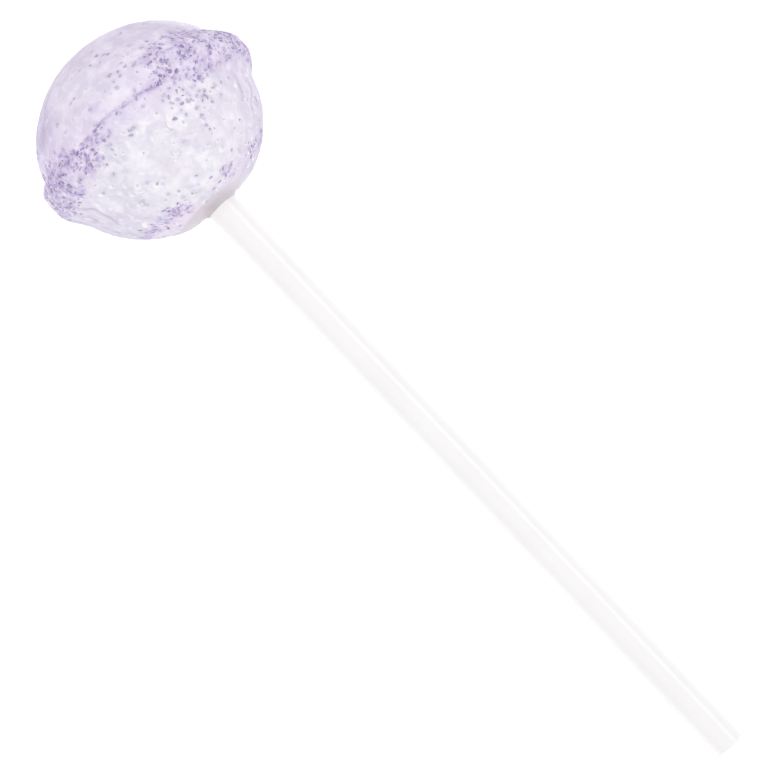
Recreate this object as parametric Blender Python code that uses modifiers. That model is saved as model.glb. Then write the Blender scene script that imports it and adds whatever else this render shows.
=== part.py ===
"""A ball lollipop lying on its side: a hard candy ball with an offset mould belt, on a straight round stick.

Both pieces are worked out with the lollipop upright, crown at the top, and are then laid down together
on a small flat on the belt and on the tip of the stick. +X is the face that ends up on top when the
lollipop lies down, +Y its right side. Everything is in metres.
"""

import math

import bmesh
import bpy
from mathutils import Matrix, Vector

# The ball, measured from its centre: the two mould halves are not quite alike.
UPPER_RADIUS = 0.01765
CROWN_HEIGHT = 0.01570
LOWER_RADIUS = 0.01735
BASE_DEPTH = 0.01638
LEAN = 0.030  # sideways lean of the ball on its stick, as a slope

# The seam between the halves: a plane that is higher on the left, with a sag left of the face.
SEAM_HEIGHT = 0.00035
SEAM_FALL_TO_RIGHT = 0.00360
SEAM_RISE_TO_FACE = 0.0007
SEAM_SAG = 0.0014
SEAM_SAG_TURN = math.radians(-33)
SEAM_SAG_WIDTH = math.radians(18)

# The belt: each half has a rim at the seam, and the halves are set off sideways, so that the upper
# rim stands proud on one side and the lower rim on the other. A rim has a steep edge at the seam,
# an even land behind it, and a run-out that dies away into the ball.
OFFSET_TURN = math.radians(65)  # where the upper rim stands out most, from the face to the right
UPPER_RIM = {"proud": 0.0018, "edge": 0.0037, "land": 0.0034, "runout": 0.0043}
LOWER_RIM = {"proud": 0.0017, "edge": 0.0015, "land": 0.0038, "runout": 0.0056}

# The base, where the ball was set down while soft: a shallow cone round the stick, tipped a little,
# with a small lip against the stick.
BASE_MIDDLE_DEPTH = 0.01590
BASE_CONE_SLOPE = 0.123
BASE_TIP_SLOPE = 0.052
LIP_WIDTH = 0.0005
LIP_HEIGHT = 0.00045

# The stick.
STICK_RADIUS = 0.0025
STICK_BELOW_CENTRE = 0.1267
STICK_ABOVE_CENTRE = 0.0063
STICK_EDGE = 0.00025
FIT_GAP = 0.0003
HOLE_RADIUS = STICK_RADIUS + FIT_GAP
HOLE_TOP = STICK_ABOVE_CENTRE + FIT_GAP
LIP_START = HOLE_RADIUS + LIP_WIDTH
LEAN_FADE = 0.0035  # width round the stick over which the lean dies away

# The flat that the belt rests on.
REST_FLAT_DEPTH = 0.00033

# How finely the solids are divided.
CANDY_STEPS = 72
STICK_STEPS = 40
UPPER_ROWS = 20
LOWER_ROWS = 23
ROW_CROWDING = 1.4  # above 1, rows crowd towards the seam
LAY_DOWN_PASSES = 8


def smooth_step(start, end, value):
    """0 before start, 1 after end, with an even S between them."""
    t = min(max((value - start) / (end - start), 0.0), 1.0)
    return t * t * (3 - 2 * t)


# ---------------------------------------------------------------------------------------------
# The shape of the candy
# ---------------------------------------------------------------------------------------------


def spheroid_radius(radius, height, z):
    return radius * math.sqrt(max(0.0, 1 - (z / height) ** 2))


def seam_height_at(turn):
    """Height of the seam at an angle round the stick, from the face towards the right."""
    sag = SEAM_SAG * math.exp(-(((turn - SEAM_SAG_TURN) / SEAM_SAG_WIDTH) ** 2))
    return SEAM_HEIGHT - SEAM_FALL_TO_RIGHT * math.sin(turn) + SEAM_RISE_TO_FACE * math.cos(turn) - sag


def rim_height(rim, inside):
    """How far a rim stands out at a distance from the seam into its own half."""
    edge = smooth_step(-rim["edge"] / 2, rim["edge"] / 2, inside)
    runout = smooth_step(rim["land"], rim["land"] + rim["runout"], inside)
    return rim["proud"] * edge * (1 - runout)


def side_radius_at(turn, z):
    """Radius of the candy's side, belt included, at an angle round the stick and a height."""
    below = seam_height_at(turn) - z
    lowerness = smooth_step(-LOWER_RIM["edge"] / 2, LOWER_RIM["edge"] / 2, below)
    upper = spheroid_radius(UPPER_RADIUS, CROWN_HEIGHT, z)
    lower = spheroid_radius(LOWER_RADIUS, BASE_DEPTH, z)
    ball = upper + (lower - upper) * lowerness
    upper_share = (1 + math.cos(turn - OFFSET_TURN)) / 2
    return ball + upper_share * rim_height(UPPER_RIM, -below) + (1 - upper_share) * rim_height(LOWER_RIM, below)


def base_height_at(turn, radius):
    """Height of the base's shallow cone."""
    return -BASE_MIDDLE_DEPTH + (BASE_CONE_SLOPE - BASE_TIP_SLOPE * math.cos(turn)) * radius


def candy_profile():
    """The turned outline, from the crown down the outside, across the base and up the hole."""
    points = [(0.0, CROWN_HEIGHT)]
    for row in range(UPPER_ROWS - 1, -1, -1):
        latitude = math.pi / 2 * (row / UPPER_ROWS) ** ROW_CROWDING
        points.append((UPPER_RADIUS * math.cos(latitude), CROWN_HEIGHT * math.sin(latitude)))
    last_latitude = math.acos(LIP_START / UPPER_RADIUS)
    for row in range(1, LOWER_ROWS + 1):
        latitude = last_latitude * (row / LOWER_ROWS) ** ROW_CROWDING
        points.append((UPPER_RADIUS * math.cos(latitude), -BASE_DEPTH * math.sin(latitude)))
    hole_mouth = base_height_at(math.pi / 2, HOLE_RADIUS) - LIP_HEIGHT
    points.append((HOLE_RADIUS, hole_mouth))
    points.append((HOLE_RADIUS, (hole_mouth + HOLE_TOP) / 2))
    points.append((HOLE_RADIUS, HOLE_TOP))
    points.append((0.0, HOLE_TOP))
    return points


def cast_point(point):
    """Moves a point of the turned outline to its place on the cast candy."""
    radius = math.hypot(point.x, point.y)
    if radius < (HOLE_RADIUS + LIP_START) / 2 and point.z < CROWN_HEIGHT / 2:
        return point.copy()
    turn = math.atan2(point.y, point.x)
    share = (radius / UPPER_RADIUS) ** 2
    z = point.z + seam_height_at(turn) * share
    new_radius = side_radius_at(turn, z)
    z = max(z, base_height_at(turn, new_radius))
    lean = LEAN * z
    if z < 0:
        lean *= smooth_step(LIP_START, LIP_START + LEAN_FADE, new_radius)
    return Vector((new_radius * math.cos(turn), new_radius * math.sin(turn) - lean, z))


# ---------------------------------------------------------------------------------------------
# Scene helpers
# ---------------------------------------------------------------------------------------------


def clear_scene():
    for old in list(bpy.data.objects):
        bpy.data.objects.remove(old, do_unlink=True)


def new_collection(name):
    collection = bpy.data.collections.new(name)
    bpy.context.scene.collection.children.link(collection)
    return collection


def new_object(name, mesh, collection):
    piece = bpy.data.objects.new(name, mesh)
    collection.objects.link(piece)
    return piece


def new_material(name, color, roughness):
    material = bpy.data.materials.new(name)
    material.use_nodes = True
    shader = material.node_tree.nodes["Principled BSDF"]
    shader.inputs["Base Color"].default_value = (*color, 1)
    shader.inputs["Roughness"].default_value = roughness
    shader.inputs["Metallic"].default_value = 0.0
    return material


# ---------------------------------------------------------------------------------------------
# The pieces
# ---------------------------------------------------------------------------------------------


def turned_mesh(name, profile, steps, collection):
    """A closed solid of revolution, from a profile at +X that starts and ends on the axis."""
    outline = bpy.data.meshes.new(name + "_outline")
    edges = [(i, i + 1) for i in range(len(profile) - 1)]
    outline.from_pydata([(radius, 0, z) for radius, z in profile], edges, [])
    blank = new_object(name + "_blank", outline, collection)
    screw = blank.modifiers.new("turn", "SCREW")
    screw.axis = "Z"
    screw.steps = steps
    screw.render_steps = steps
    screw.use_merge_vertices = True
    screw.merge_threshold = 0.00001
    graph = bpy.context.evaluated_depsgraph_get()
    turned = bpy.data.meshes.new_from_object(blank.evaluated_get(graph))
    turned.name = name
    bpy.data.objects.remove(blank, do_unlink=True)
    return turned


def make_candy(collection):
    mesh = turned_mesh("candy", candy_profile(), CANDY_STEPS, collection)
    for vertex in mesh.vertices:
        vertex.co = cast_point(vertex.co)
    mesh.shade_smooth()
    mesh.materials.append(new_material("hard_candy", (0.75, 0.69, 0.83), 0.35))
    return new_object("candy", mesh, collection)


def make_stick(collection):
    length = STICK_BELOW_CENTRE + STICK_ABOVE_CENTRE
    form = bmesh.new()
    bmesh.ops.create_cone(
        form,
        cap_ends=True,
        segments=STICK_STEPS,
        radius1=STICK_RADIUS,
        radius2=STICK_RADIUS,
        depth=length,
    )
    mesh = bpy.data.meshes.new("stick")
    form.to_mesh(mesh)
    form.free()
    mesh.shade_smooth()
    mesh.materials.append(new_material("stick_plastic", (0.90, 0.89, 0.90), 0.3))
    stick = new_object("stick", mesh, collection)
    stick.location.z = STICK_ABOVE_CENTRE - length / 2
    edge = stick.modifiers.new("eased_ends", "BEVEL")
    edge.width = STICK_EDGE
    edge.segments = 2
    edge.limit_method = "ANGLE"
    return stick


# ---------------------------------------------------------------------------------------------
# Laying it down
# ---------------------------------------------------------------------------------------------


def lying_rotation(slope):
    """Turns the upright lollipop so that its stick points to +X and falls towards its tip by a slope angle."""
    return Matrix.Rotation(slope - math.pi / 2, 4, "Y")


def centre_height(candy, slope):
    """Height of the ball's centre once the belt is pressed flat on the floor."""
    rotation = lying_rotation(slope)
    lowest = min((rotation @ vertex.co).z for vertex in candy.data.vertices)
    return -lowest - REST_FLAT_DEPTH


def resting_slope(candy):
    """The slope at which the belt's flat and the tip of the stick touch the floor together."""
    reach = STICK_BELOW_CENTRE - STICK_EDGE
    slope = 0.0
    for _ in range(LAY_DOWN_PASSES):
        slope = math.asin((centre_height(candy, slope) - STICK_RADIUS * math.cos(slope)) / reach)
    return slope


def lay_down(candy, stick, collection):
    """Hangs both pieces on one empty, which lies down with the middle of its box over the origin."""
    slope = resting_slope(candy)
    rotation = lying_rotation(slope)
    points = [rotation @ vertex.co for vertex in candy.data.vertices]
    tip = STICK_BELOW_CENTRE * math.cos(slope) + (STICK_RADIUS - STICK_EDGE) * math.sin(slope)
    left = min(point.y for point in points)
    right = max(point.y for point in points)
    back = min(point.x for point in points)
    middle = Vector(((back + tip) / 2, (left + right) / 2, 0))
    cradle = new_object("cradle", None, collection)
    cradle.matrix_world = Matrix.Translation(Vector((0, 0, centre_height(candy, slope))) - middle) @ rotation
    candy.parent = cradle
    stick.parent = cradle


def cut_rest_flat(candy, collection):
    """Takes off what the belt would sink into the floor, down to a level flat."""
    side = 4 * UPPER_RADIUS
    block = bmesh.new()
    bmesh.ops.create_cube(block, size=side)
    mesh = bpy.data.meshes.new("floor_block")
    block.to_mesh(mesh)
    block.free()
    cutter = new_object("floor_block", mesh, collection)
    cutter.location = (candy.matrix_world.translation.x, 0, -side / 2)
    cutter.hide_render = True
    cutter.display_type = "WIRE"
    flat = candy.modifiers.new("rest_flat", "BOOLEAN")
    flat.operation = "DIFFERENCE"
    flat.solver = "EXACT"
    flat.object = cutter


def main():
    clear_scene()
    parts = new_collection("lollipop")
    cutters = new_collection("cutters")
    candy = make_candy(parts)
    stick = make_stick(parts)
    lay_down(candy, stick, parts)
    bpy.context.view_layer.update()
    cut_rest_flat(candy, cutters)


main()
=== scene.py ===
"""The looks of a ball lollipop that lies on its side: a cloudy lavender candy full of violet specks.

The candy is worked out upright, crown up, with +X as the face that ends up on top and +Y as its right side,
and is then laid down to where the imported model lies. Everything is in metres and radians, and turns run
round the stick from the face towards the right.
"""

import math
from collections import namedtuple
import bpy
from mathutils import Matrix, Vector

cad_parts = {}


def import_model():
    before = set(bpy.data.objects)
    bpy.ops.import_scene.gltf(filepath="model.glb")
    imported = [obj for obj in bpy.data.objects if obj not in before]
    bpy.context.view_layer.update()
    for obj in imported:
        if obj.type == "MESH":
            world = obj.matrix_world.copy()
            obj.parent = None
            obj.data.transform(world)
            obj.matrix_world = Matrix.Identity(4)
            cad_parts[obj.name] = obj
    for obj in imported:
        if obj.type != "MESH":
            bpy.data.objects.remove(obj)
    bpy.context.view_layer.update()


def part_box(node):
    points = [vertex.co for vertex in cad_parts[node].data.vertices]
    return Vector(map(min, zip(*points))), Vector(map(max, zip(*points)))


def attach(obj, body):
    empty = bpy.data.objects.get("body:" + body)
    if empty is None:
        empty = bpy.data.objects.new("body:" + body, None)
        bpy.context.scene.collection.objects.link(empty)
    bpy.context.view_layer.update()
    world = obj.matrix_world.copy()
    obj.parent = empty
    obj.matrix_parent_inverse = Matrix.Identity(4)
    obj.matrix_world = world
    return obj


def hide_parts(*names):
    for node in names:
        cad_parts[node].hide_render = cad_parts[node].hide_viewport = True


# A span is a Bell, a rise as (start, full), or a window as (start, full, fade, end).
Bell = namedtuple("Bell", "middle width")

# ---- Sizes ----

STICK_BELOW_CENTRE = 0.1267
STICK_ABOVE_CENTRE = 0.0063
STICK_EDGE = 0.00025
STICK_EDGE_STEPS = 5
STICK_ROWS = 60
STICK_SIDES = 96
STICK_DISH = 0.00012  # how far the cut end is hollowed
STICK_DISH_RINGS = (0.9, 0.6, 0.3, 0.0)  # in shares of the cut end's radius
WELD_REACH = 0.000001

# The named inputs of the candy's tree.
CANDY_SIZES = {
    "Upper Radius": 0.01765,
    "Crown Height": 0.01570,
    "Lower Radius": 0.01735,
    "Base Depth": 0.01638,
    "Lean": 0.030,
    "Seam Height": 0.00035,
    "Seam Fall To Right": 0.00360,
    "Seam Rise To Face": 0.0007,
    "Seam Sag": 0.0014,
    "Seam Sag Turn": math.radians(-33),
    "Seam Sag Width": math.radians(18),
    "Offset Turn": math.radians(65),
    "Upper Rim Proud": 0.0018,
    "Upper Rim Start": 0.0003,
    "Upper Rim Edge": 0.0038,
    "Upper Rim Land": 0.0034,
    "Upper Rim Run Out": 0.0043,
    "Lower Rim Proud": 0.0017,
    "Lower Rim Start": 0.0004,
    "Lower Rim Edge": 0.0015,
    "Lower Rim Land": 0.0033,
    "Lower Rim Run Out": 0.0052,
    "Base Middle Depth": 0.01590,
    "Base Cone Slope": 0.123,
    "Base Tip Slope": 0.052,
    "Base Rim Round": 0.0004,
    "Lip Height": 0.0006,
    "Lip Width": 0.0009,
    "Crease Depth": 0.00012,
    "Crease Width": 0.00018,
    "Crease Waver": 0.0016,
    "Dent Depth": 0.00030,
    "Lump Height": 0.00012,
    "Flow Depth": 0.00010,
    "Flow Width": 0.00030,
}
CANDY_SEGMENTS = 336
CANDY_RINGS = 280
ROW_CROWDING = 1.35  # above 1, rows crowd towards the seam
PATTERN_RADIUS = 0.0175  # of the even ball on which the violet's pattern is worked out
LEAN_START = 0.0035  # the base stays straight for this far round the stick
CROWN_TOP = (0.0030, 0.0120)  # from the axis: inside it, the crown has no left and no right
FACET_SPAN = (-0.0004, -0.0001)  # from the base's cone: where the facet round the stick begins
FACET_NARROWER_RIGHT = 0.0005
CREASE_BREAKS = (0.6, 1.0)  # how deep the crease is where it is broken, and where it isn't
FACET_CALM = 0.6  # how much of the dents and lumps the facet lacks

# Furrows that sugar left as it ran down from the belt: their turn, and top and bottom below the middle.
FLOWS = (
    (-1.08, 0.0, 0.0095),
    (-1.27, 0.003, 0.0065),
    (1.02, 0.004, 0.009),
    (1.25, 0.005, 0.011),
)
FLOW_ENDS = 0.0015  # how long they take to deepen and to run out
FLOW_SWAYS = ((0.055, 800.0), (0.015, 2300.0))  # how far they sway, and how fast with height

# The violet specks: how many there are where they lie thickest, and how large.
GRAIN_SIZES = {
    "Most Per Square Metre": 0.9e6,
    "Smallest": 0.00011,
    "Largest": 0.00024,
    "Thickness": 0.28,
    "Length": 1.5,
    "Bend": 0.00040,
}
GRAIN_SEED = 11
FLAKE_SIZES = {
    "Most Per Square Metre": 1.6e6,
    "Smallest": 0.00018,
    "Largest": 0.00034,
    "Thickness": 0.20,
    "Length": 1.8,
    "Bend": 0.00060,
}
FLAKE_SEED = 29
SMALL_FAVOUR = 2.2  # above 1, small specks outnumber large ones
HALO_CORE = 0.5  # in shares of the largest flake
HALO_REACH = 0.0006  # how far a flake's violet soaks into the candy round it

# ---- Where the violet lies ----

# Round the stick: how much of each, and its span. Those of the left side count leftwards. 1 is the thick of
# the belt, except that what moves an edge (shorter, higher, dip) is in metres.
ROUND = {
    "upper rim": (1.0, (0.14, 0.21, 1.9, 2.7)),
    "upper rim shorter": (0.0024, (1.0, 1.25)),
    "upper rim thinner": (0.18, (0.65, 0.95)),
    "upper rim gap": (0.25, Bell(0.45, 0.15)),
    "upper rim thick end": (0.30, (1.05, 1.20)),
    "streaks": (0.4, (0.75, 0.95, 1.0, 1.15)),
    "streaks higher": (0.0022, (0.70, 1.15)),
    "deep dip": (0.0015, Bell(0.66, 0.30)),
    "small dip": (0.0006, Bell(0.42, 0.20)),
    "fringe": (0.34, (-0.02, 0.12, 0.27, 0.40)),
    "under rim": (0.5, (0.05, 0.25, 0.65, 1.0)),
    "right run": (0.10, (0.45, 0.80, 1.6, 2.4)),
    "seam line": (0.45, (-0.75, -0.60, 0.45, 0.65)),
    "left rim": (1.22, (0.10, 0.50, 2.2, 3.0)),
    "left rim higher": (1.0, (0.40, 0.75, 0.95, 1.20)),
    "left unevenness": (0.20, (0.30, 0.60)),
    "left ring": (1.2, (0.35, 0.60, 1.2, 2.0)),
    "front ring": (0.9, Bell(0.46, 0.16)),
    "right ring": (1.2, (0.85, 1.0, 2.0, 2.8)),
    "left blush": (1.0, (0.35, 0.60, 1.2, 2.0)),
    "right blush": (1.0, (0.0, 0.25, 0.80, 1.10)),
    "crease": (1.0, (-0.36, -0.26, 0.30, 0.46)),
    "faint crease": (0.3, (-1.2, -0.9, -0.36, -0.26)),
}

# Across the seam, in metres. The streaks' fade and end are counted from how much higher they are.
ABOVE_SEAM = {
    "upper rim": (-0.0003, 0.0006, 0.0080, 0.0100),
    "streaks": (0.0060, 0.0070, 0.0066, 0.0090),
    "fringe": (0.0002, 0.0012, 0.0085, 0.0100),
}
BELOW_SEAM = {
    "under rim": (0.0002, 0.0008, 0.0035, 0.0065),
    "right run": (0.0010, 0.0030, 0.0090, 0.0120),
    "left rim": (-0.0006, 0.0004),
    "left rim higher": (-0.0026, 0.0004),
}
UPPER_RIM_SLANT = 30  # how its left end leans, in radians to a metre
LEFT_RIM_SPREAD = 0.0062  # how far down it reaches, one radian left of the face
LEFT_RIM_CURVE = 0.85
LEFT_RIM_LIMIT = 0.0064
LEFT_RIM_FADE = (-0.0014, 0.0014)  # across the end of its reach
SEAM_LINE = Bell(0.0, 0.0005)
SEAM_LINE_STAIN = 0.4

# Runs of specks down from the belt: turn, top, slant in radians to a metre, and window below the seam.
DRIPS = (
    (0.13, 0.0012, 85, (0.0006, 0.0012, 0.0040, 0.0046)),
    (0.59, 0.0024, 32, (0.0015, 0.0025, 0.0075, 0.0090)),
)
DRIP_WIDTH = 0.05
DRIP_AMOUNT = 0.8

# The ring near the base, and the pink beside it. Heights are from the middle of the ball.
RING_HEIGHT = -0.0118
RING_FALL_TO_FACE = 0.0022
RING_FALL_TO_RIGHT = 0.0009
RING_WIDTH = 0.0010
RING_ALL_ROUND = 0.20
RING_STAIN = 0.95
RING_SPECKS = 0.8
BLUSH_BELOW_RING = 0.0015
BLUSH_WIDTH = 0.0012

STRAYS = (0.015, 0.115)  # the fewest and the most specks away from the belt
CLUMPING = 0.75
BETWEEN_CLUMPS = 0.25
BELT_EVENNESS = 0.35  # how much less they gather in clumps where they lie thick
BELT_THICK = (0.2, 0.6)

# ---- Patterns ----

# Noise, as (swings to a metre, detail).
SWINGS = {
    "violet across": (330.0, 2.0),
    "violet round": (280.0, 2.0),
    "crease": (380.0, 1.0),
    "dents": (150.0, 1.0),
    "lumps": (520.0, 2.0),
    "chips": (3000.0, 1.0),
    "stir": (420.0, 2.0),
    "curls": (560.0, 2.0),
}
VIOLET_STRAYS_ACROSS = 0.0050  # how far the violet's edges wander up and down
VIOLET_STRAYS_ROUND = 0.24  # and sideways, in radians
STIR_REACH = 0.0016

# Blotches, as (swings to a metre, detail, start and full in the noise's own value).
BLOTCHES = {
    "clumps": (700.0, 2.0, 0.42, 0.62),
    "strays": (260.0, 1.0, 0.46, 0.72),
    "unbroken crease": (560.0, 1.0, 0.40, 0.58),
    "clouds": (150.0, 1.0, 0.36, 0.64),
    "blots": (520.0, 1.0, 0.40, 0.60),
    "fine": (1000.0, 1.0, 0.38, 0.62),
    "rosy": (330.0, 1.0, 0.50, 0.72),
    "bluish": (290.0, 1.0, 0.50, 0.70),
    "unbroken rings": (800.0, 1.0, 0.42, 0.56),
    "soaked": (360.0, 1.0, 0.38, 0.60),
    "threads": (640.0, 1.0, 0.58, 0.70),
    "knots": (420.0, 0.0, 0.54, 0.66),
    "stick milk": (90.0, 3.0, 0.35, 0.65),
    "floor": (3.0, 1.0, 0.3, 0.7),
}

# ---- Formulas in node trees ----


class Field:
    """A number that changes over a surface. Arithmetic with it adds Math nodes to its tree."""

    def __init__(self, tree, socket):
        self.tree = tree
        self.socket = socket

    def math(self, operation, *others):
        node = add_node(self.tree, "ShaderNodeMath", operation=operation)
        for slot, value in zip(node.inputs, (self, *others)):
            feed(self.tree, slot, value)
        return Field(self.tree, node.outputs[0])

    def __add__(self, other):
        return self.math("ADD", other)

    def __sub__(self, other):
        return self.math("SUBTRACT", other)

    def __mul__(self, other):
        return self.math("MULTIPLY", other)

    def __truediv__(self, other):
        return self.math("DIVIDE", other)

    def __neg__(self):
        return self * -1

    def __rsub__(self, other):
        return other + self * -1

    __radd__ = __add__
    __rmul__ = __mul__


def feed(tree, socket, value):
    """Links a value that comes from a node, or sets a plain one."""
    if isinstance(value, Field):
        value = value.socket
    if isinstance(value, bpy.types.NodeSocket):
        tree.links.new(value, socket)
    else:
        socket.default_value = value


def add_node(tree, kind, inputs=None, **settings):
    node = tree.nodes.new(kind)
    for name, value in settings.items():
        setattr(node, name, value)
    for name, value in (inputs or {}).items():
        feed(tree, node.inputs[name], value)
    return node


def vector_math(tree, operation, inputs):
    return add_node(tree, "ShaderNodeVectorMath", inputs, operation=operation).outputs[0]


def largest(first, *others):
    for other in others:
        first = first.math("MAXIMUM", other)
    return first


def s_curve(value, start, full):
    """0 before start, 1 from full on, with an even S between them."""
    settings = {"Value": value, "From Min": start, "From Max": full}
    node = add_node(value.tree, "ShaderNodeMapRange", settings, interpolation_type="SMOOTHSTEP")
    return Field(value.tree, node.outputs["Result"])


def window(value, start, full, fade, end):
    """Rises from start to full, and dies away from fade to end."""
    return s_curve(value, start, full) * (1 - s_curve(value, fade, end))


def bell(value, middle, width):
    share = (value - middle) / width
    return (-(share * share)).math("EXPONENT")


def within(value, span):
    """1 inside a span, 0 outside it, and softly between."""
    if isinstance(span, Bell):
        return bell(value, *span)
    return s_curve(value, *span) if len(span) == 2 else window(value, *span)


def ranging(share, low, high):
    """Low where the share is 0, and high where it is 1."""
    return share * (high - low) + low


def noise(tree, place, scale, detail):
    node = add_node(tree, "ShaderNodeTexNoise", {"Vector": place, "Scale": scale, "Detail": detail})
    return Field(tree, node.outputs[0])


def wander(tree, place, kind):
    """Noise that swings round zero."""
    return noise(tree, place, *SWINGS[kind]) - 0.5


def wander_aside(tree, place, kind):
    """A vector that swings round zero."""
    scale, detail = SWINGS[kind]
    node = add_node(tree, "ShaderNodeTexNoise", {"Vector": place, "Scale": scale, "Detail": detail})
    return vector_math(tree, "SUBTRACT", {0: node.outputs["Color"], 1: (0.5, 0.5, 0.5)})


def blotches(tree, place, kind):
    scale, detail, start, full = BLOTCHES[kind]
    return s_curve(noise(tree, place, scale, detail), start, full)


def cells(tree, place, scale):
    """How far each point is from the middle of its cell, in a pattern of uneven cells."""
    node = add_node(tree, "ShaderNodeTexVoronoi", {"Vector": place, "Scale": scale})
    return Field(tree, node.outputs["Distance"])


def blend_color(share, first, second, blend_type="MIX"):
    """Colour that goes from the first to the second as the share goes from 0 to 1."""
    inputs = {0: share, 6: first, 7: second}
    node = add_node(share.tree, "ShaderNodeMix", inputs, data_type="RGBA", blend_type=blend_type)
    return node.outputs[2]


# ---- Geometry trees ----


def new_shape_tree(name, sizes):
    """A geometry tree with one input for its geometry and one for each named size, as Fields."""
    tree = bpy.data.node_groups.new(name, "GeometryNodeTree")
    tree.is_modifier = True
    tree.interface.new_socket("Geometry", in_out="INPUT", socket_type="NodeSocketGeometry")
    tree.interface.new_socket("Geometry", in_out="OUTPUT", socket_type="NodeSocketGeometry")
    for size in sizes:
        tree.interface.new_socket(size, in_out="INPUT", socket_type="NodeSocketFloat")
    given = tree.nodes.new("NodeGroupInput")
    fields = {size: Field(tree, given.outputs[size]) for size in sizes}
    return tree, given.outputs["Geometry"], fields


def finish_tree(tree, geometry, material):
    real = add_node(tree, "GeometryNodeRealizeInstances", {"Geometry": geometry})
    dressed = add_node(tree, "GeometryNodeSetMaterial", {"Geometry": real.outputs[0], "Material": material})
    result = tree.nodes.new("NodeGroupOutput")
    feed(tree, result.inputs[0], dressed.outputs[0])


def store(tree, geometry, name, value, kind="FLOAT"):
    """Keeps a field on the geometry's points as a named attribute."""
    inputs = {"Geometry": geometry, "Name": name, "Value": value}
    node = add_node(tree, "GeometryNodeStoreNamedAttribute", inputs, data_type=kind, domain="POINT")
    return node.outputs[0]


def stored(tree, name, kind="FLOAT"):
    node = add_node(tree, "GeometryNodeInputNamedAttribute", {"Name": name}, data_type=kind)
    return Field(tree, node.outputs["Attribute"])


def random_share(tree, seed):
    """A random number from 0 to 1 for each point or instance."""
    node = add_node(tree, "FunctionNodeRandomValue", {2: 0.0, 3: 1.0, "Seed": seed}, data_type="FLOAT")
    return Field(tree, node.outputs[1])


def position(tree):
    """(place, (x, y, z)) of each point."""
    place = tree.nodes.new("GeometryNodeInputPosition").outputs[0]
    parts = add_node(tree, "ShaderNodeSeparateXYZ", {0: place})
    return place, [Field(tree, part) for part in parts.outputs]


def joined(tree, x, y, z):
    return add_node(tree, "ShaderNodeCombineXYZ", {0: x, 1: y, 2: z}).outputs[0]


def moved(tree, geometry, **by):
    """Puts the points at a Position, or moves them by an Offset."""
    return add_node(tree, "GeometryNodeSetPosition", {"Geometry": geometry, **by}).outputs[0]


def new_object(name, data):
    thing = bpy.data.objects.new(name, data)
    bpy.context.scene.collection.objects.link(thing)
    return thing


def plain_mesh(name, blank, modifier):
    """The mesh that a modifier makes of a blank, which is then removed."""
    graph = bpy.context.evaluated_depsgraph_get()
    mesh = bpy.data.meshes.new_from_object(blank.evaluated_get(graph))
    mesh.name = name
    blank.modifiers.remove(modifier)
    bpy.data.objects.remove(blank, do_unlink=True)
    return mesh


def made_mesh(name, tree, sizes, start=None):
    """Runs a tree on a start mesh, with its sizes, and returns the plain mesh that comes out."""
    blank = new_object(name + "_blank", start or bpy.data.meshes.new(name + "_start"))
    modifier = blank.modifiers.new("shape", "NODES")
    modifier.node_group = tree
    identifiers = {item.name: item.identifier for item in tree.interface.items_tree if item.in_out == "INPUT"}
    for size, value in sizes.items():
        modifier[identifiers[size]] = value
    return plain_mesh(name, blank, modifier)


def new_piece(name, mesh, replaced=None):
    piece = new_object(name, mesh)
    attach(piece, "root")
    if replaced:
        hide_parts(replaced)
    return piece


# ---- Where the lollipop lies ----


def way_to_tip(slope):
    return Vector((math.cos(slope), 0, -math.sin(slope)))


def lying_place():
    """(ball's centre, slope of the stick, stick's radius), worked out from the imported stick's box."""
    low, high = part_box("stick")
    length = STICK_BELOW_CENTRE + STICK_ABOVE_CENTRE
    radius = (high.y - low.y) / 2
    run = length - 2 * STICK_EDGE
    slope = math.asin((high.z - low.z) / math.hypot(run, 2 * radius)) - math.atan2(2 * radius, run)
    centre = (low + high) / 2 - way_to_tip(slope) * (length / 2 - STICK_ABOVE_CENTRE)
    return centre, slope, radius


def tip_over(slope):
    """The turn about +Y that lays the upright lollipop down."""
    return slope - math.pi / 2


# ---- The candy's shape ----


def spheroid_radius(radius, height, z):
    share = z / height
    return radius * (1 - share * share).math("MAXIMUM", 0.0).math("SQRT")


def seam_height(size, turn):
    sag = size["Seam Sag"] * bell(turn, size["Seam Sag Turn"], size["Seam Sag Width"])
    fall = size["Seam Fall To Right"] * turn.math("SINE")
    rise = size["Seam Rise To Face"] * turn.math("COSINE")
    return size["Seam Height"] - fall + rise - sag


def rim_height(size, half, inside):
    """How far a half's rim stands out at a distance from the seam into that half."""
    inside = inside - size[half + " Rim Start"]
    edge = size[half + " Rim Edge"] * 0.5
    land = size[half + " Rim Land"]
    return size[half + " Rim Proud"] * window(inside, -edge, edge, land, land + size[half + " Rim Run Out"])


def side_radius(size, turn, below, z):
    """Radius of the candy's side, with the two rims, which are proud on opposite sides."""
    edge = size["Lower Rim Edge"] * 0.5
    upper = spheroid_radius(size["Upper Radius"], size["Crown Height"], z)
    lower = spheroid_radius(size["Lower Radius"], size["Base Depth"], z)
    ball = upper + (lower - upper) * s_curve(below, -edge, edge)
    upper_share = (turn - size["Offset Turn"]).math("COSINE") * 0.5 + 0.5
    upper_rim = upper_share * rim_height(size, "Upper", -below)
    lower_rim = (1 - upper_share) * rim_height(size, "Lower", below)
    return ball + (upper_rim + lower_rim)


def row_height(size, seam, is_upper, z):
    """Height on the candy of a row of the blank ball, whose middle row runs along the seam."""
    steep = z.math("ARCSINE") / (math.pi / 2)
    latitude = steep.math("SIGN") * steep.math("ABSOLUTE").math("POWER", ROW_CROWDING) * (math.pi / 2)
    ring = latitude.math("COSINE")
    reach = size["Base Depth"] + (size["Crown Height"] - size["Base Depth"]) * is_upper
    return reach * latitude.math("SINE") + seam * ring * ring


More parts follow.
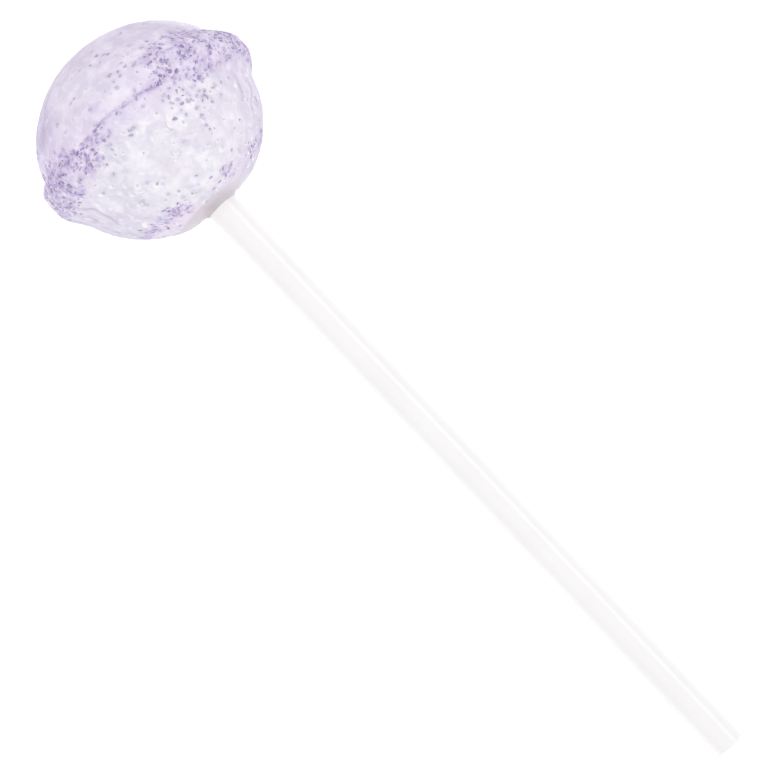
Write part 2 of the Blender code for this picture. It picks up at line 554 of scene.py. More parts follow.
def closed_base(size, turn, radius, height, is_upper, stick_radius):
    """(height, facet): the candy's height with its shallow conical base and lip, and where the facet is."""
    tilt = size["Base Cone Slope"] - size["Base Tip Slope"] * turn.math("COSINE")
    base = tilt * radius - size["Base Middle Depth"]
    narrower = FACET_NARROWER_RIGHT * turn.math("SINE").math("MAXIMUM", 0.0)
    facet = within(base - height - narrower, FACET_SPAN)
    lip = (1 - s_curve(radius, stick_radius, size["Lip Width"] + stick_radius)) * (1 - is_upper)
    return height.math("SMOOTH_MAX", base, size["Base Rim Round"]) - size["Lip Height"] * lip, facet


def flow_lines(size, turn, radius, z):
    """Thin wavy furrows, two on the left and two on the right."""
    sway = sum(reach * (z * speed).math("SINE") for reach, speed in FLOW_SWAYS)
    lines = []
    for flow_turn, top, bottom in FLOWS:
        line = bell((turn - flow_turn - sway) * radius, 0.0, size["Flow Width"])
        lines.append(line * window(-z, top, top + FLOW_ENDS, bottom - FLOW_ENDS, bottom))
    return sum(lines)


def seam_crease(tree, size, pattern, turn, below):
    """A line along the seam, sharp at the face, faint on its left and broken here and there."""
    sharp = amount_round(turn, "crease") + amount_round(turn, "faint crease")
    wavering = wander(tree, pattern, "crease") * size["Crease Waver"]
    broken = ranging(blotches(tree, pattern, "unbroken crease"), *CREASE_BREAKS)
    return bell(below + wavering, 0.0, size["Crease Width"]) * sharp * broken


def embossed(tree, size, geometry):
    """Dents and lumps along the surface, and the crease and the furrows."""
    place, _ = position(tree)
    dents = wander(tree, place, "dents") * size["Dent Depth"]
    lumps = wander(tree, place, "lumps") * size["Lump Height"]
    grooves = stored(tree, "crease") * size["Crease Depth"] + stored(tree, "flow") * size["Flow Depth"]
    relief = (dents + lumps) * (1 - stored(tree, "facet") * FACET_CALM) - grooves
    normal = tree.nodes.new("GeometryNodeInputNormal").outputs[0]
    return moved(tree, geometry, Offset=vector_math(tree, "SCALE", {0: normal, "Scale": relief}))


def laid_down(tree, geometry, centre, slope):
    """Lays the candy on the floor, with the small flat that it rests on."""
    inputs = {"Geometry": geometry, "Translation": centre, "Rotation": (0, tip_over(slope), 0)}
    laid = add_node(tree, "GeometryNodeTransform", inputs).outputs[0]
    _, (x, y, z) = position(tree)
    return moved(tree, laid, Position=joined(tree, x, y, z.math("MAXIMUM", 0.0)))


def candy_tree(material, centre, slope, stick_radius):
    tree, _, size = new_shape_tree("cast_candy", CANDY_SIZES)
    blank = {"Segments": CANDY_SEGMENTS, "Rings": CANDY_RINGS, "Radius": 1.0}
    geometry = add_node(tree, "GeometryNodeMeshUVSphere", blank).outputs["Mesh"]

    # Each point of the blank ball gives a turn round the stick and a place on the outline.
    _, (x, y, z) = position(tree)
    turn = y.math("ARCTAN2", x)
    is_upper = z.math("GREATER_THAN", 0.0)
    seam = seam_height(size, turn)
    row = row_height(size, seam, is_upper, z)
    below = seam - row
    radius = side_radius(size, turn, below, row)
    height, facet = closed_base(size, turn, radius, row, is_upper, stick_radius)
    off_stick = s_curve(radius, stick_radius, stick_radius + LEAN_START)
    lean = size["Lean"] * height * largest(off_stick, is_upper)
    shaped = joined(tree, radius * turn.math("COSINE"), radius * turn.math("SINE") - lean, height)

    # What the finish and the specks need to know stays on the mesh.
    pattern = joined(tree, x * PATTERN_RADIUS, y * PATTERN_RADIUS, row)
    stain, blush, specks = violet_shares(tree, pattern, turn, below, row)
    off_crown_top = largest(within(radius, CROWN_TOP), 1 - is_upper)
    marks = {
        "violet": specks,
        "stain": stain,
        "blush": blush,
        "below_seam": below,
        "facet": facet,
        "turn_right": turn.math("SINE") * off_crown_top,
        "from_axis": radius,
        "faceward": x,
        "crease": seam_crease(tree, size, pattern, turn, below),
        "flow": flow_lines(size, turn, radius, row),
    }
    for name, value in marks.items():
        geometry = store(tree, geometry, name, value)
    geometry = embossed(tree, size, moved(tree, geometry, Position=shaped))
    finish_tree(tree, laid_down(tree, geometry, centre, slope), material)
    return tree


def make_candy(material, centre, slope, stick_radius):
    bare = made_mesh("bare_ball", candy_tree(material, centre, slope, stick_radius), CANDY_SIZES)
    mesh = made_mesh("candy_ball", halo_tree(FLAKE_SIZES, FLAKE_SEED, material), FLAKE_SIZES, bare)
    mesh.shade_smooth()
    return new_piece("candy_ball", mesh, "candy")


# ---- The violet, and how thick the specks lie ----


def amount_round(turn, name):
    """How much of a named thing there is at a turn round the stick."""
    amount, span = ROUND[name]
    return within(turn, span) * amount


def upper_rim_violet(turn, below, dip):
    """The proud part of the upper half, with fainter streaks above it."""
    start, full, fade, end = ABOVE_SEAM["upper rim"]
    shorter = amount_round(turn, "upper rim shorter")
    tall = window(dip - below, start, full, fade - shorter, end - shorter)
    wide = amount_round(turn + below * UPPER_RIM_SLANT, "upper rim")
    thinner = amount_round(turn, "upper rim thinner") + amount_round(turn, "upper rim gap")
    rim = tall * wide * (1 - thinner + amount_round(turn, "upper rim thick end"))

    start, full, fade, end = ABOVE_SEAM["streaks"]
    higher = amount_round(turn, "streaks higher")
    streaks = window(-below, start, full, higher + fade, higher + end) * amount_round(turn, "streaks")
    return largest(rim, streaks)


def left_rim_violet(turn, below):
    """The proud part of the lower half, where the violet spreads further down towards the left."""
    left = -turn
    spread = LEFT_RIM_SPREAD * largest(left, 0.0).math("POWER", LEFT_RIM_CURVE)
    fading = 1 - within(below - spread.math("MINIMUM", LEFT_RIM_LIMIT), LEFT_RIM_FADE)
    higher = within(below, BELOW_SEAM["left rim higher"]) * amount_round(left, "left rim higher")
    starting = (higher + within(below, BELOW_SEAM["left rim"])).math("MINIMUM", 1.0)
    return starting * fading * amount_round(left, "left rim")


def ring_violet(turn, z):
    """(ring, blush): the ring near the base, which comes and goes round the candy, and the pink beside it."""
    rightwards = largest(turn.math("SINE"), 0.0)
    height = RING_HEIGHT - RING_FALL_TO_FACE * turn.math("COSINE") - RING_FALL_TO_RIGHT * rightwards
    arcs = amount_round(-turn, "left ring") + amount_round(turn, "front ring")
    arcs = arcs + amount_round(turn, "right ring") + RING_ALL_ROUND
    pink_arcs = amount_round(turn, "right blush") + amount_round(-turn, "left blush")
    blush = bell(z, height - BLUSH_BELOW_RING, BLUSH_WIDTH) * pink_arcs
    return bell(z, height, RING_WIDTH) * arcs, blush


def thin_violet(turn, below):
    """Thinner specks: left of the upper rim, under the belt, down the right side, and in thin drips."""
    drips = []
    for drip_turn, top, slant, span in DRIPS:
        drips.append(bell(turn + (below - top) * slant, drip_turn, DRIP_WIDTH) * within(below, span))
    fringe = within(-below, ABOVE_SEAM["fringe"]) * amount_round(turn, "fringe")
    under_rim = within(below, BELOW_SEAM["under rim"]) * amount_round(turn, "under rim")
    right_run = within(below, BELOW_SEAM["right run"]) * amount_round(turn, "right run")
    return largest(fringe, under_rim, right_run, sum(drips) * DRIP_AMOUNT)


def violet_shares(tree, pattern, turn, below, z):
    """(stain, blush, specks): how strongly violet and pink have soaked in, and how thick the specks lie.

    The violet is on the proud rims, along the seam and in a ring near the base. The specks lie there too, in
    thinner patches and drips round the belt, and as strays everywhere.
    """
    below = below + wander(tree, pattern, "violet across") * VIOLET_STRAYS_ACROSS
    turn = turn + wander(tree, pattern, "violet round") * VIOLET_STRAYS_ROUND
    dip = amount_round(turn, "deep dip") + amount_round(turn, "small dip")
    ring, blush = ring_violet(turn, z)
    line = within(below - dip, SEAM_LINE) * amount_round(turn, "seam line")
    rims = upper_rim_violet(turn, below, dip) + left_rim_violet(turn, below)
    broad = largest(rims, ring * RING_SPECKS)
    stain = largest(broad, ring * RING_STAIN, line * SEAM_LINE_STAIN)

    # The specks gather in clumps, though less so in the thick of the belt, above all right of the face.
    bands = largest(broad, line, thin_violet(turn, below))
    even = within(bands, BELT_THICK) * (BELT_EVENNESS - amount_round(-turn, "left unevenness"))
    clumped = blotches(tree, pattern, "clumps") * (CLUMPING - even) + even + BETWEEN_CLUMPS
    strays = ranging(blotches(tree, pattern, "strays"), *STRAYS)
    return stain, blush, largest(bands, strays) * clumped


# ---- The specks ----


def speck_places(tree, surface, size, seed):
    """Points over a surface, as thick as its violet attribute says."""
    density = size["Most Per Square Metre"] * stored(tree, "violet")
    inputs = {"Mesh": surface, "Density": density, "Seed": seed}
    return add_node(tree, "GeometryNodeDistributePointsOnFaces", inputs, distribute_method="RANDOM")


def halo_tree(sizes, seed, material):
    """Keeps on the candy how near each of its points is to a speck."""
    tree, surface, size = new_shape_tree("halo", sizes)
    points = speck_places(tree, surface, size, seed)
    near = add_node(tree, "GeometryNodeProximity", {0: points.outputs["Points"]}, target_element="POINTS")
    halo = 1 - s_curve(Field(tree, near.outputs["Distance"]), size["Largest"] * HALO_CORE, HALO_REACH)
    finish_tree(tree, store(tree, surface, "halo", halo), material)
    return tree


def speck_tree(name, sizes, seed, material):
    """Scatters small uneven chips over a surface. Each random choice has a seed of its own."""
    tree, surface, size = new_shape_tree(name, sizes)
    points = speck_places(tree, surface, size, seed)
    tone, fineness, longness, spin = (random_share(tree, seed + step) for step in (1, 2, 3, 4))
    kept = store(tree, points.outputs["Points"], "tone", tone)
    kept = store(tree, kept, "outwards", points.outputs["Normal"], "FLOAT_VECTOR")
    chip = add_node(tree, "GeometryNodeMeshIcoSphere", {"Radius": 1.0, "Subdivisions": 1})
    breadth = size["Smallest"] + (size["Largest"] - size["Smallest"]) * fineness.math("POWER", SMALL_FAVOUR)
    stretch = 1 + (size["Length"] - 1) * longness
    scale = joined(tree, breadth * stretch, breadth / stretch, breadth * size["Thickness"])
    inputs = {"Points": kept, "Instance": chip.outputs["Mesh"], "Scale": scale}
    inputs["Rotation"] = points.outputs["Rotation"]
    chips = add_node(tree, "GeometryNodeInstanceOnPoints", inputs)
    inputs = {"Instances": chips.outputs[0], "Rotation": joined(tree, 0.0, 0.0, spin * math.tau)}
    turned = add_node(tree, "GeometryNodeRotateInstances", inputs)
    real = add_node(tree, "GeometryNodeRealizeInstances", {"Geometry": turned.outputs[0]})
    finish_tree(tree, moved(tree, real.outputs[0], Offset=chip_bend(tree, size)), material)
    return tree


def chip_bend(tree, size):
    """A push for each corner of each chip, along the surface, so that no two chips are alike."""
    place, _ = position(tree)
    wandering = wander_aside(tree, place, "chips")
    standing = vector_math(tree, "PROJECT", {0: wandering, 1: stored(tree, "outwards", "FLOAT_VECTOR")})
    sideways = vector_math(tree, "SUBTRACT", {0: wandering, 1: standing})
    return vector_math(tree, "SCALE", {0: sideways, "Scale": size["Bend"]})


def scatter_specks(name, candy, sizes, seed, material):
    mesh = made_mesh(name, speck_tree("scatter_" + name, sizes, seed, material), sizes, candy.data.copy())
    mesh.shade_smooth()
    new_piece(name, mesh)


# ---- The stick ----


def stick_outline(radius):
    """(radius, height) points, from the upper end's middle to the dished cut end's middle."""
    inner = radius - STICK_EDGE
    top = STICK_ABOVE_CENTRE - STICK_EDGE
    bottom = -STICK_BELOW_CENTRE + STICK_EDGE
    angles = [math.pi / 2 * step / STICK_EDGE_STEPS for step in range(1, STICK_EDGE_STEPS + 1)]
    points = [(0.0, STICK_ABOVE_CENTRE), (inner, STICK_ABOVE_CENTRE)]
    points += [(inner + STICK_EDGE * math.sin(a), top + STICK_EDGE * math.cos(a)) for a in angles]
    points += [(radius, top + (bottom - top) * row / STICK_ROWS) for row in range(1, STICK_ROWS + 1)]
    points += [(inner + STICK_EDGE * math.cos(a), bottom - STICK_EDGE * math.sin(a)) for a in angles]
    for share in STICK_DISH_RINGS:
        points.append((inner * share, -STICK_BELOW_CENTRE + STICK_DISH * (1 - share * share)))
    return points


def turned_mesh(name, outline, sides):
    """A closed solid of revolution from an outline that starts and ends on the axis, top to bottom."""
    mesh = bpy.data.meshes.new(name + "_outline")
    edges = [(i, i + 1) for i in range(len(outline) - 1)]
    mesh.from_pydata([(across, 0, height) for across, height in outline], edges, [])
    blank = new_object(name + "_blank", mesh)
    screw = blank.modifiers.new("turn", "SCREW")
    screw.axis = "Z"
    screw.steps = sides
    screw.render_steps = sides
    screw.use_merge_vertices = True
    screw.merge_threshold = WELD_REACH
    return plain_mesh(name, blank, screw)


def make_stick(material, centre, slope, radius):
    mesh = turned_mesh("plain_stick", stick_outline(radius), STICK_SIDES)
    from_ball = mesh.attributes.new("from_ball", "FLOAT", "POINT")
    for vertex in mesh.vertices:
        from_ball.data[vertex.index].value = -vertex.co.z
    mesh.transform(Matrix.Translation(centre) @ Matrix.Rotation(tip_over(slope), 4, "Y"))
    mesh.shade_smooth()
    mesh.materials.clear()
    mesh.materials.append(material)
    new_piece("plain_stick", mesh, "stick")


# ---- Finishes ----

LEAST_ROUGHNESS = 0.05


def uneven_gloss_group():
    """A shader group: roughness that wanders round a middle value, and a fine height for a Bump."""
    group = bpy.data.node_groups.new("uneven_gloss", "ShaderNodeTree")
    for name, kind in (("Place", "Vector"), ("Scale", "Float"), ("Roughness", "Float"), ("Spread", "Float")):
        group.interface.new_socket(name, in_out="INPUT", socket_type="NodeSocket" + kind)
    for name in ("Roughness", "Height"):
        group.interface.new_socket(name, in_out="OUTPUT", socket_type="NodeSocketFloat")
    given = group.nodes.new("NodeGroupInput")
    result = group.nodes.new("NodeGroupOutput")
    place = given.outputs["Place"]
    scale = Field(group, given.outputs["Scale"])
    wandering = noise(group, place, scale, 4.0) - 0.5
    spread = wandering * 2 * Field(group, given.outputs["Spread"])
    roughness = Field(group, given.outputs["Roughness"]) + spread
    feed(group, result.inputs["Roughness"], largest(roughness, LEAST_ROUGHNESS))
    feed(group, result.inputs["Height"], noise(group, place, scale * 3, 3.0))
    return group


class Finish:
    """A new material with a Principled shader, and what its node effects read."""

    def __init__(self, name, gloss_group):
        self.material = bpy.data.materials.new(name)
        self.material.use_nodes = True
        self.tree = self.material.node_tree
        self.shader = self.tree.nodes["Principled BSDF"]
        self.place = self.tree.nodes.new("ShaderNodeTexCoord").outputs["Object"]
        self.gloss_group = gloss_group

    def set(self, values):
        for name, value in values.items():
            feed(self.tree, self.shader.inputs[name], value)

    def attribute(self, name):
        node = add_node(self.tree, "ShaderNodeAttribute", attribute_name=name, attribute_type="GEOMETRY")
        return Field(self.tree, node.outputs["Fac"])

    def uneven_gloss(self, scale, roughness, spread, depth):
        inputs = {"Place": self.place, "Scale": scale, "Roughness": roughness, "Spread": spread}
        group = add_node(self.tree, "ShaderNodeGroup", inputs, node_tree=self.gloss_group)
        bump = add_node(self.tree, "ShaderNodeBump", {"Distance": depth, "Height": group.outputs["Height"]})
        self.set({"Roughness": group.outputs["Roughness"], "Normal": bump.outputs["Normal"]})


# ---- The candy's finish ----

# Each coat's strength and colour.
COATS = {
    "rosy": (0.25, (0.86, 0.76, 0.85, 1)),
    "bluish": (0.16, (0.70, 0.70, 0.82, 1)),
    # Painted shade under the seam's step.
    "shade under seam": (0.26, (0.62, 0.53, 0.76, 1)),
    # Painted shade where the candy curves away from the face, in the next three coats.
    "painted edge shade": (1.0, (0.78, 0.74, 0.815, 1)),
    "painted limb shade": (1.0, (0.80, 0.80, 0.84, 1)),
    "left crown shade": (1.0, (0.955, 0.935, 0.985, 1)),
    "low cloud": (0.30, (0.66, 0.60, 0.74, 1)),
    "right side": (0.22, (0.70, 0.60, 0.80, 1)),
    "left veil": (0.11, (0.70, 0.58, 0.82, 1)),
    # Pale patches, the first of them a painted highlight above the seam.
    "pale patch": (1.0, (0.97, 0.95, 0.99, 1)),
    "blush": (0.50, (0.88, 0.75, 0.90, 1)),
    # Pale bubbles, with painted glints beside the dark ones.
    "pale bubble and glint": (1.0, (0.98, 0.96, 1.0, 1)),
    "dark bubble": (1.0, (0.50, 0.45, 0.59, 1)),
    # Painted highlight and painted shade on the bubbles' far walls.
    "ring glint": (0.60, (0.98, 0.96, 1.0, 1)),
    "ring shade": (0.34, (0.45, 0.40, 0.53, 1)),
    "wash": (1.0, (0.52, 0.38, 0.73, 1)),
    "halo": (0.32, (0.52, 0.42, 0.71, 1)),
    "threads": (1.0, (0.36, 0.25, 0.57, 1)),
    "curls": (0.48, (0.30, 0.20, 0.50, 1)),
    "sunk specks": (0.40, (0.32, 0.23, 0.50, 1)),
    "gaps": (1.0, (0.94, 0.86, 0.975, 1)),
    "smear": (0.45, (0.47, 0.36, 0.68, 1)),
    "crease": (1.0, (0.36, 0.28, 0.56, 1)),
    "flow": (0.60, (0.48, 0.40, 0.60, 1)),
}

# The halves' own deep and pale colours, and the shares of clouds, blots and fine blotches in their paleness.
CROWN_SUGAR = ((0.735, 0.668, 0.825, 1), (0.905, 0.85, 0.99, 1), (0.38, 0.48, 0.14))
LOW_SUGAR = ((0.73, 0.70, 0.81, 1), (0.965, 0.94, 1.0, 1), (0.36, 0.36, 0.28))
# The facet round the stick: greyish mauve, paler on the right and darker next to the stick.
FACET_TONE_LEFT = (0.635, 0.57, 0.615, 1)
FACET_TONE_RIGHT = (0.73, 0.68, 0.745, 1)
FACET_TONE_AT_STICK = (0.58, 0.50, 0.53, 1)

# Spans sideways, where 0 is the face and 1 the right side. Those of the left side count leftwards, and those
# of the flanks count both ways.
SIDEWAYS = {
    # The first six spans place painted shade: under the seam, and where the candy curves away from the face.
    "shade under seam": Bell(-0.06, 0.28),
    "brow": (0.80, 0.95),
    "shaded flanks": (0.50, 1.0),
    "bright flanks": (0.80, 0.95),
    "shoulder": (0.60, 0.78),
    "left crown shade": (0.45, 0.75),
    "low cloud": Bell(-0.14, 0.13),
    "right side": (0.25, 0.45),
    "left veil": (0.40, 0.70),
    "left": (0.30, 0.60),
    "left thickening": (0.0, 0.3),
    "right gap": (0.70, 0.85, 0.88, 0.94),
    "right end": (0.90, 0.96),
    "facet_tone": (-0.7, 0.9),
    "smear": (-0.12, 0.0, 0.25, 0.45),
}

# Spans above and below the seam.
UP = {
    # The first four spans place painted shade where the crown curves away from the face.
    "brow": (0.0050, 0.0075),
    "shaded crown": (0.0020, 0.0060),
    "shoulder": (0.0025, 0.0048),
    "left crown shade": (0.0, 0.0030),
    "thickening": (0.0015, 0.0060),
}
DOWN = {
    "low half": (0.0, 0.0042),
    # Painted shade under the seam's step.
    "shade under seam": (0.0002, 0.0010, 0.0028, 0.0045),
    "low cloud": Bell(0.0095, 0.0020),
    "left veil": (-0.0040, 0.0),
    "left veil fade": (0.0050, 0.0100),
    "smear": Bell(0.0, 0.0005),
}

# Spans in what else the mesh and the patterns say.
OFF_TOP = (0.0060, 0.0160)
NEAR_STICK = (0.0025, 0.0060)
# Where painted shade lies as the candy turns away from the face, and along the lower half's limb.
FACEWARD = (0.48, 0.80)
LIMB_SHADE = Bell(0.0, 0.22)
LIMB_SHADE_FALL = 4.6
STAINED = {"wash": (0.40, 1.0), "sunk specks": (0.03, 0.6), "gaps": (0.3, 0.8)}
CURLS = (0.0, 0.04)
CELLS = {"sunk specks": (1200.0, (0.12, 0.36)), "gaps": (850.0, (0.10, 0.34))}  # cells to a metre, span

# Each pale patch: its strength, and its spans sideways and down. The first is a painted highlight on the
# upper rim, just above the seam at the face.
PALE_PATCHES = (
    (0.50, Bell(-0.02, 0.075), Bell(-0.0018, 0.0010)),
    (0.6, Bell(0.63, 0.09), Bell(0.0033, 0.0013)),
    (0.35, Bell(-0.38, 0.26), Bell(0.0128, 0.0016)),
)

BUBBLES = ((430.0, 0.75), (760.0, 0.50))  # cells to a metre, strength
BUBBLE_RINGS = 360.0
# Which way the painted light on the bubbles falls.
BUBBLE_LIGHT_WAY = (-0.00012, 0.00012, 0)
BUBBLE_SLOPE = 0.05

# Spans in a bubble's slope, in its random number, and in how far a point is from its middle. The slopes set
# painted light and painted shade on one side of a bubble, and the glint and the arcs are painted highlights
# and painted shade.
SLOPES = {"lit": (-1.0, 1.0), "far wall": (-0.5, 0.7)}
CHANCES = {"dark": (0.30, 0.48), "pale": (0.60, 0.75), "ring": (0.60, 0.72)}
AWAY = {
    "pale spot": (0.05, 0.32),
    "dark spot": (0.04, 0.24),
    "glint": Bell(0.25, 0.09),
    "pale arc": Bell(0.24, 0.06),
    "dark arc": Bell(0.34, 0.035),
}

# How strong each of these is where its share is 0, and where it is 1.
RANGES = {
    # The next two set painted shade on the flanks and on the crown.
    "shaded flanks": (0.45, 0.10),
    "shaded crown": (0.60, 0.09),
    "left veil": (1.0, 0.5),
    # How a pale spot's strength changes with the painted light on its side.
    "pale spot": (1.0, 0.4),
    "bubbles": (0.52, 1.37),
    "thickening": (0.45, 1.0),
    "soaked": (0.3, 1.05),
    "wash": (0.53, 0.25),
    "threads": (0.42, 0.67),
    "gaps": (0.50, 0.70),
    "smear": (0.4, 1.0),
    "crease": (0.30, 0.75),
}
# How strong the painted shade on the crown's left shoulder is.
SHOULDER_SHADE = 0.65
LEFT_THICKENING = 0.8
RIGHT_GAP = 0.4
RIGHT_END = 0.35
FACET_TONE_SHARE = 0.85
FACET_TONE_BY_STICK = 0.4


class CandyColor:
    """The candy's colour, laid on in coats, and what the coats read from the mesh."""

    def __init__(self, finish):
        self.tree = finish.tree
        self.finish = finish
        self.down = finish.attribute("below_seam")
        self.sideways = finish.attribute("turn_right")
        self.stain = finish.attribute("stain")
        self.low_half = self.below("low half")

        # The patterns' coordinates are stirred, so that clouds and spots have curled edges.
        stir = wander_aside(self.tree, finish.place, "stir")
        shift = vector_math(self.tree, "SCALE", {0: stir, "Scale": STIR_REACH})
        self.place = vector_math(self.tree, "ADD", {0: finish.place, 1: shift})
        self.clouding = [self.blotches(kind) for kind in ("clouds", "blots", "fine")]
        self.color = blend_color(self.low_half, self.sugar(*CROWN_SUGAR), self.sugar(*LOW_SUGAR))

    def right(self, name):
        return within(self.sideways, SIDEWAYS[name])

    def left(self, name):
        return within(-self.sideways, SIDEWAYS[name])

    def flanks(self, name):
        return within(self.sideways.math("ABSOLUTE"), SIDEWAYS[name])

    def above(self, name):
        return within(-self.down, UP[name])

    def below(self, name):
        return within(self.down, DOWN[name])

    def stained(self, name):
        return within(self.stain, STAINED[name])

    def blotches(self, kind):
        return blotches(self.tree, self.place, kind)

    def specked(self, kind):
        """The middles of cells."""
        per_metre, span = CELLS[kind]
        return 1 - within(cells(self.tree, self.place, per_metre), span)

    def sugar(self, deep, pale, shares):
        paleness = sum(share * blotch for share, blotch in zip(shares, self.clouding))
        return blend_color(paleness, deep, pale)

    def coat(self, share, name, blend_type="MIX"):
        strength, color = COATS[name]
        self.color = blend_color(share * strength, self.color, color, blend_type)


def lay_tints(candy):
    """Faint tints in the sugar, and painted shade in violet under the seam's step."""
    candy.coat(candy.blotches("rosy"), "rosy")
    candy.coat(candy.blotches("bluish"), "bluish")
    candy.coat(candy.below("shade under seam") * candy.right("shade under seam"), "shade under seam")


def paint_edge_shade(candy):
    """Painted shade: darkens the sugar where it curves away from the face, along the lower half's limb, and
    on the crown's left.
    """
    faceward = candy.finish.attribute("faceward")
    off_top = within(candy.finish.attribute("from_axis"), OFF_TOP)
    brow = candy.right("brow") * candy.above("brow")
    flanks = candy.flanks("shaded flanks") * ranging(brow, *RANGES["shaded flanks"])
    crown = (1 - within(faceward, FACEWARD)) * candy.above("shaded crown")
    crown = crown * ranging(candy.flanks("bright flanks"), *RANGES["shaded crown"])
    shoulder = candy.left("shoulder") * candy.above("shoulder") * off_top * SHOULDER_SHADE
    candy.coat(flanks + crown + shoulder, "painted edge shade", "MULTIPLY")
    # Painted shade along the lower half's limb, where the surface turns away.
    limb_shade = within(faceward + candy.down * LIMB_SHADE_FALL, LIMB_SHADE)
    candy.coat(limb_shade * candy.low_half, "painted limb shade", "MULTIPLY")
    # Painted shade on the crown's left, away from its top.
    candy.coat(candy.left("left crown shade") * candy.above("left crown shade") * off_top, "left crown shade", "MULTIPLY")


def lay_patches(candy):
    """Broad soft patches: a cloud low down, violet veils on both sides, pale patches with a painted highlight
    among them, and the pink blush.
    """
    candy.coat(candy.right("low cloud") * candy.below("low cloud"), "low cloud")
    candy.coat(candy.right("right side") * candy.low_half, "right side")
    veil = candy.left("left veil") * candy.below("left veil")
    candy.coat(veil * ranging(candy.below("left veil fade"), *RANGES["left veil"]), "left veil")
    patches = []
    for strength, across, down in PALE_PATCHES:
        patches.append(within(candy.sideways, across) * within(candy.down, down) * strength)
    candy.coat(sum(patches), "pale patch")
    candy.coat(candy.finish.attribute("blush"), "blush")


def bubble_cells(candy, scale):
    """(away, slope, chance): how far a bubble's middle is, its slope to the light, and its random number."""
    bubble = add_node(candy.tree, "ShaderNodeTexVoronoi", {"Vector": candy.place, "Scale": scale})
    away = Field(candy.tree, bubble.outputs["Distance"])
    aside = vector_math(candy.tree, "ADD", {0: candy.place, 1: BUBBLE_LIGHT_WAY})
    slope = (cells(candy.tree, aside, scale) - away) / BUBBLE_SLOPE
    parts = add_node(candy.tree, "ShaderNodeSeparateColor", {0: bubble.outputs["Color"]})
    return away, slope, Field(candy.tree, parts.outputs[0])


def bubbles(candy, scale):
    """(pale, dark): some bubbles are pale spots, some are dark smudges, and each has painted light on one
    side: a pale spot is paler on one side, and a dark one gets a painted glint beside it.
    """
    away, slope, chance = bubble_cells(candy, scale)
    lit = within(slope, SLOPES["lit"])
    is_dark = 1 - within(chance, CHANCES["dark"])
    spot = (1 - within(away, AWAY["pale spot"])) * within(chance, CHANCES["pale"])
    spot = spot * ranging(lit, *RANGES["pale spot"])
    glint = within(away, AWAY["glint"]) * is_dark * (1 - lit)
    return spot + glint, (1 - within(away, AWAY["dark spot"])) * is_dark


def bubble_rings(candy, scale):
    """(pale, dark): here and there a bubble's far wall gets painted shade, a thin dark arc, with a painted
    highlight, a pale arc, inside it.
    """
    away, slope, chance = bubble_cells(candy, scale)
    far_wall = 1 - within(slope, SLOPES["far wall"])
    is_ring = within(chance, CHANCES["ring"]) * far_wall * candy.blotches("unbroken rings")
    return within(away, AWAY["pale arc"]) * is_ring, within(away, AWAY["dark arc"]) * is_ring


def lay_bubbles(candy):
    # Dark bubbles and pale spots, with painted light and painted shade on their sides.
    strength = ranging(candy.low_half, *RANGES["bubbles"])
    for scale, share in BUBBLES:
        pale, dark = bubbles(candy, scale)
        candy.coat(pale * strength * share, "pale bubble and glint")
        candy.coat(dark * strength * share, "dark bubble")
    pale, dark = bubble_rings(candy, BUBBLE_RINGS)
    candy.coat(pale * strength, "ring glint")
    candy.coat(dark * strength, "ring shade")


def lay_violet(candy):
    """Violet that has run into the sugar, in threads and curls, and specks just under the surface."""
    _, blots, _ = candy.clouding
    on_left = candy.left("left")
    thick = largest(candy.above("thickening"), candy.left("left thickening") * LEFT_THICKENING)
    thick = ranging(thick, *RANGES["thickening"])
    right = 1 - candy.right("right gap") * RIGHT_GAP + candy.right("right end") * RIGHT_END
    wash = candy.stained("wash") * thick * ranging(candy.blotches("soaked"), *RANGES["soaked"]) * right
    candy.coat(wash * ranging(blots, *RANGES["wash"]), "wash")
    candy.coat(candy.finish.attribute("halo"), "halo")
    candy.coat(wash * candy.blotches("threads") * ranging(on_left, *RANGES["threads"]), "threads")
    curls = 1 - within(wander(candy.tree, candy.place, "curls").math("ABSOLUTE"), CURLS)
    candy.coat(wash * curls, "curls")
    candy.coat(candy.specked("sunk specks") * candy.stained("sunk specks"), "sunk specks")
    gaps = candy.specked("gaps") * candy.stained("gaps")
    candy.coat(gaps * ranging(on_left, *RANGES["gaps"]), "gaps")


def lay_facet_tone(candy):
    """The brownish facet round the stick."""
    near_stick = 1 - within(candy.finish.attribute("from_axis"), NEAR_STICK)
    facet_tone = blend_color(candy.right("facet_tone"), FACET_TONE_LEFT, FACET_TONE_RIGHT)
    facet_tone = blend_color(near_stick * FACET_TONE_BY_STICK, facet_tone, FACET_TONE_AT_STICK)
    facet = candy.finish.attribute("facet") * FACET_TONE_SHARE
    candy.color = blend_color(facet, candy.color, facet_tone)


def lay_lines(candy):
    """Violet in the seam's crease and in the furrows."""
    knots = blotches(candy.tree, candy.finish.place, "knots")
    smear = candy.below("smear") * candy.right("smear")
    candy.coat(smear * ranging(knots, *RANGES["smear"]), "smear")
    candy.coat(candy.finish.attribute("crease") * ranging(knots, *RANGES["crease"]), "crease")
    candy.coat(candy.finish.attribute("flow"), "flow")


def candy_finish(gloss_group):
    finish = Finish("hard_candy", gloss_group)
    candy = CandyColor(finish)
    for lay in (lay_tints, paint_edge_shade, lay_patches, lay_bubbles, lay_violet, lay_facet_tone, lay_lines):
        lay(candy)
    finish.set({"Base Color": candy.color, "Subsurface Weight": 0.25, "Subsurface Scale": 0.002})
    finish.set({"Subsurface Radius": (1.0, 0.85, 1.1), "Specular IOR Level": 0.35})
    finish.uneven_gloss(scale=650.0, roughness=0.42, spread=0.16, depth=0.00012)
    return finish.material


# ---- The other finishes ----

